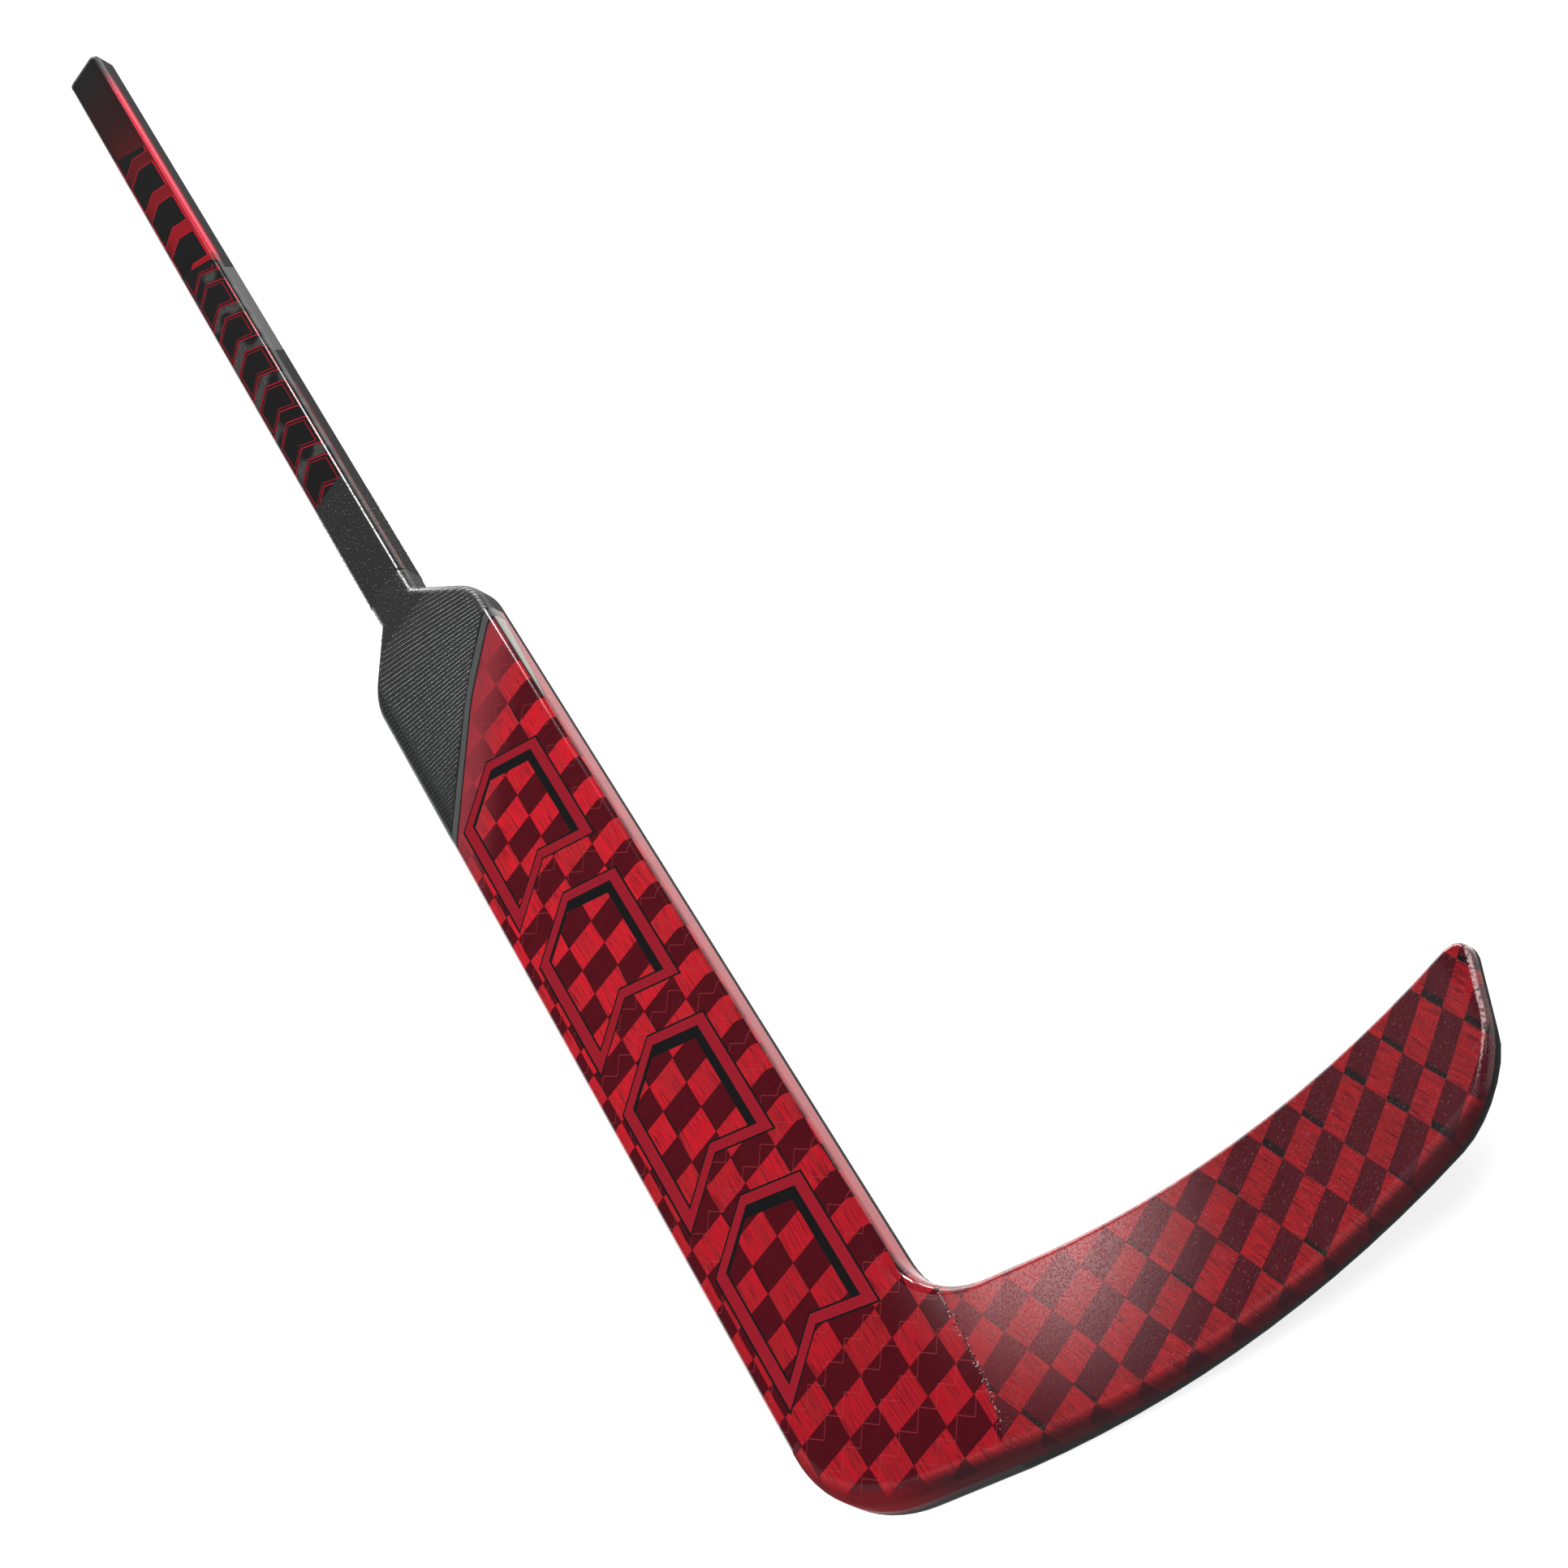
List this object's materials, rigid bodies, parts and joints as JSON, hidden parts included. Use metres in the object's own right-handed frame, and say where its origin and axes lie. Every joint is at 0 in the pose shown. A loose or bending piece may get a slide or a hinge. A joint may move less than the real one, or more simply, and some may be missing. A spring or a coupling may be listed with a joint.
{
  "type": "hockey goalie stick",
  "caption": "Composite hockey goalkeeper's stick with a square hollow shaft, a wide paddle and an upward-curving rockered blade, in black and red.",
  "frame": {"origin": "middle of the paddle's back face, which the stick lies on", "axes": "+Y runs up the paddle and shaft to the butt end, +X points across the paddle towards the toe of the blade, +Z is the front face's normal"},
  "size_m": [0.3711, 1.6873, 0.0582],
  "materials": {
    "shaft_finish": "gloss",
    "butt_plug": "matte",
    "shoulder_wrap": "satin",
    "paddle_finish": "gloss",
    "blade_finish": "satin",
    "foam_core": "matte",
    "bare_carbon": "matte"
  },
  "bodies": {
    "root": {"shaft_tube": "shaft_finish", "butt_end_plug": "butt_plug", "paddle_spar": "bare_carbon", "shoulder_wrap_front": "shoulder_wrap", "shoulder_wrap_back": "shoulder_wrap", "paddle_face_front": "paddle_finish", "paddle_face_back": "paddle_finish", "blade_face_front": "blade_finish", "blade_face_back": "blade_finish", "paddle_core_toe_side": "foam_core", "paddle_core_back_side": "foam_core", "heel_core": "foam_core", "blade_core_lower": "foam_core", "blade_core_middle": "foam_core", "blade_core_upper": "foam_core", "blade_rib_lower": "bare_carbon", "blade_rib_upper": "bare_carbon"}
  },
  "joints": []
}
